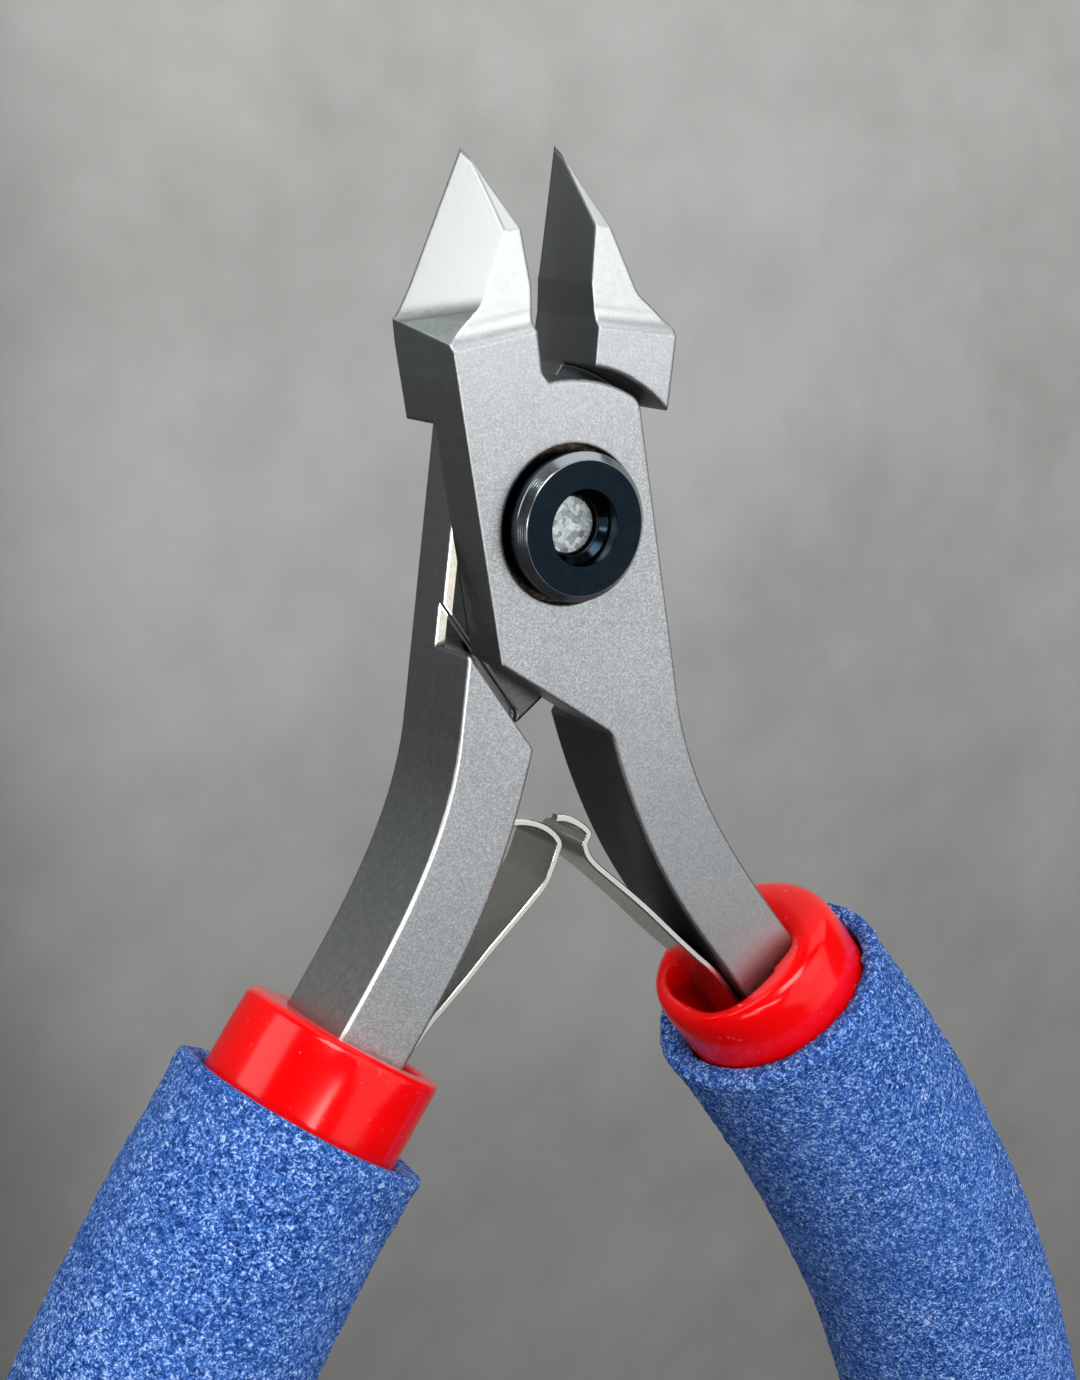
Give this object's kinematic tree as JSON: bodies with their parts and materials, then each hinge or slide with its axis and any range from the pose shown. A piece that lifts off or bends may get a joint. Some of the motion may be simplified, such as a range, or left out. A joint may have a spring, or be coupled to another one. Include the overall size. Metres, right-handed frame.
{
  "type": "flush cutter",
  "caption": "Hand flush cutter with a lap joint, relieved bevelled jaws, hollow pivot button, interlocking leaf springs, dipped inner grips and foam sleeves.",
  "frame": {"origin": "on the pivot axis, in the flat front face of the pivot button", "axes": "+Z along the pivot axis, out of the button's face; +Y towards the jaw tips; +X towards the handle of the front half"},
  "size_m": [0.0992, 0.1353, 0.0176],
  "materials": {
    "tool_steel": "satin bead-blasted",
    "black_oxide": "polished black oxide",
    "bright_screw": "bright zinc",
    "bronze_washer": "oiled, tarnished",
    "spring_steel": "polished",
    "red_plastisol": "glossy dipped",
    "blue_foam": "fuzzy cut foam"
  },
  "bodies": {
    "front_half_body": {"front_half": "tool_steel", "pivot_barrel": "black_oxide", "pivot_screw": "bright_screw", "front_washer": "bronze_washer", "rear_washer": "bronze_washer", "right_spring_rivet": "spring_steel", "right_inner_grip": "red_plastisol", "right_foam_sleeve": "blue_foam"},
    "rear_half_body": {"rear_half": "tool_steel", "left_spring_rivet": "spring_steel", "left_inner_grip": "red_plastisol", "left_foam_sleeve": "blue_foam"},
    "right_spring_body": {"right_leaf_spring": "spring_steel"},
    "left_spring_body": {"left_leaf_spring": "spring_steel"}
  },
  "joints": [
    {"name": "pivot", "type": "hinge", "parent": "front_half_body", "child": "rear_half_body", "pos_m": [0, 0, 0], "axis": [0, 0, 1], "range_deg": [0, 17], "stiffness_Nm_per_rad": 1, "springref_deg": -6.88, "deforming": ["right_leaf_spring", "left_leaf_spring"]},
    {"name": "right_spring_flex", "type": "hinge", "parent": "front_half_body", "child": "right_spring_body", "pos_m": [0.01372, -0.03386, -0.00508], "axis": [0, 0, 1], "range_deg": [-9.5, 0.5]},
    {"name": "left_spring_flex", "type": "hinge", "parent": "rear_half_body", "child": "left_spring_body", "pos_m": [-0.01372, -0.03386, -0.00508], "axis": [0, 0, 1], "range_deg": [-0.5, 10]}
  ],
  "couplings": [
    {"joint": "right_spring_flex", "follows": "pivot", "ratio": -0.52},
    {"joint": "left_spring_flex", "follows": "pivot", "ratio": 0.56}
  ]
}
